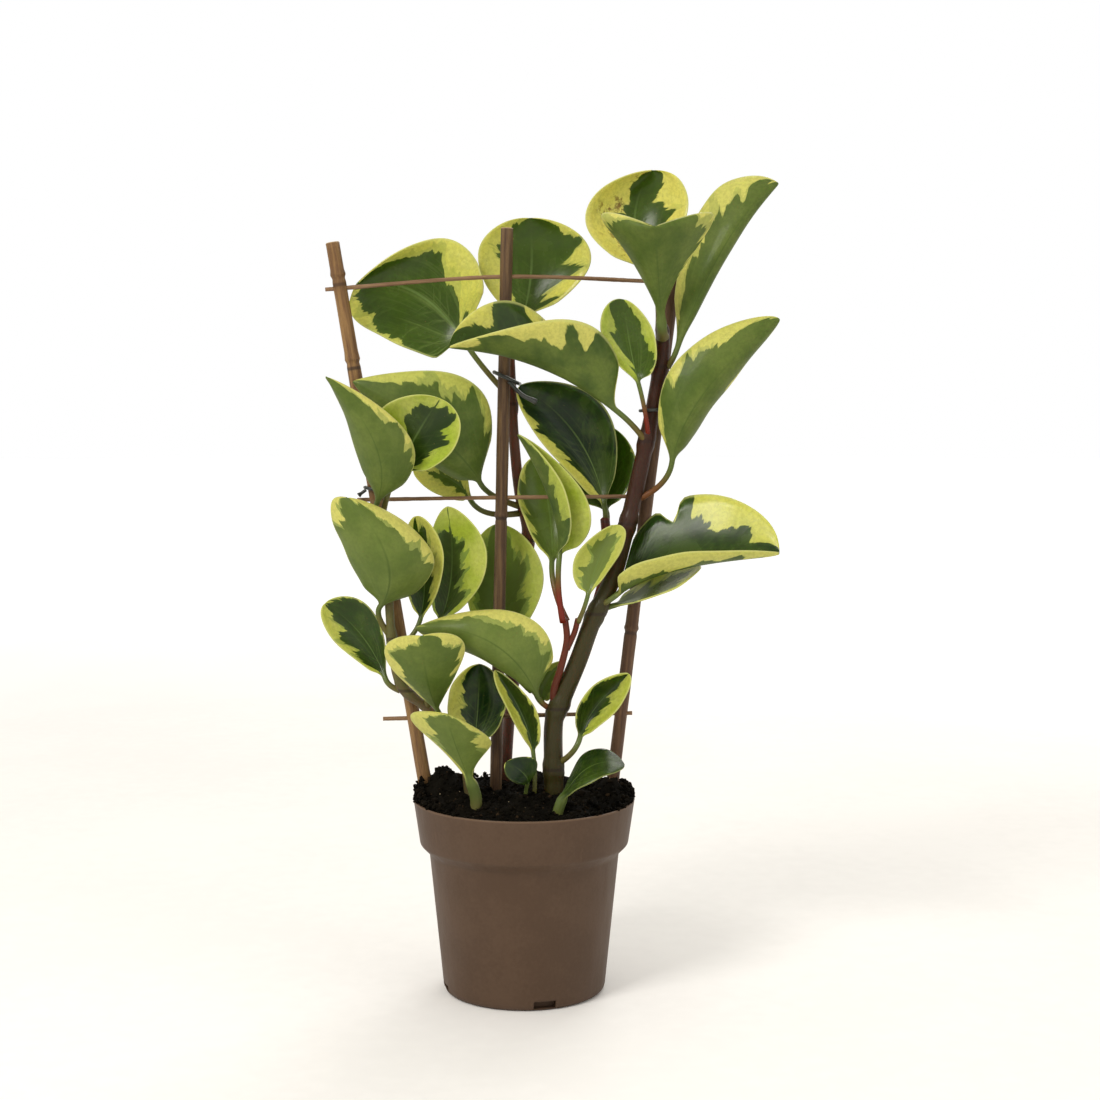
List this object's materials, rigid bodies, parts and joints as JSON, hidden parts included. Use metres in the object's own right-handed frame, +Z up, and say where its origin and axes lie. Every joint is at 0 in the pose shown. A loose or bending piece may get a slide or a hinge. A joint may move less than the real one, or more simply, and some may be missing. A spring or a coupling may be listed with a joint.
{
  "type": "potted variegated baby rubber plant",
  "caption": "Variegated baby rubber plant with thick cupped leaves on upright stems, tied to a bamboo trellis in a tapered plastic nursery pot filled with soil.",
  "frame": {"origin": "centre of the pot's foot, on the surface that it stands on", "axes": "+Z up; the front faces -Y; +X to the right as seen from the front"},
  "size_m": [0.2449, 0.12, 0.4432],
  "materials": {
    "pot": "matte taupe-brown injection-moulded plastic",
    "soil": "damp, crumbly black-brown peat",
    "cane": "dry bamboo, tan to reddish brown, satin skin",
    "bar": "thin dry split bamboo, pinkish brown",
    "tie": "black-green coated tie wire, slightly glossy",
    "stem": "smooth fleshy stem, maroon-brown with dark green",
    "leaf": "thick succulent leaf, waxy above and matte below, dark green centre with lime and cream margin"
  },
  "bodies": {
    "root": {"pot": "pot", "soil": "soil", "cane_left": "cane", "cane_middle": "cane", "cane_right": "cane", "bar_top": "bar", "bar_middle": "bar", "bar_bottom": "bar", "tie_left": "tie", "tie_middle": "tie", "tie_right": "tie", "stem_right": "stem", "stem_middle": "stem", "stem_left": "stem", "leaf_top_back": "leaf", "leaf_top_front": "leaf", "leaf_top_right": "leaf", "leaf_top_left": "leaf", "leaf_top_middle": "leaf", "leaf_cup_middle": "leaf", "leaf_upright_small": "leaf", "leaf_right_upper": "leaf", "leaf_right_curled": "leaf", "leaf_right_under": "leaf", "leaf_shaded_large": "leaf", "leaf_shaded_back": "leaf", "leaf_narrow_back": "leaf", "leaf_folded": "leaf", "leaf_small_front": "leaf", "leaf_left_wide": "leaf", "leaf_left_round": "leaf", "leaf_left_pointed": "leaf", "leaf_left_khaki": "leaf", "leaf_left_middle": "leaf", "leaf_left_edge": "leaf", "leaf_left_inner": "leaf", "leaf_behind_cane": "leaf", "leaf_left_low": "leaf", "leaf_fan_left": "leaf", "leaf_fan_wide": "leaf", "leaf_low_round": "leaf", "leaf_low_fan": "leaf", "leaf_low_narrow": "leaf", "leaf_behind_stem": "leaf", "leaf_low_right": "leaf", "leaf_front_right": "leaf", "leaf_low_dark": "leaf"}
  },
  "joints": []
}
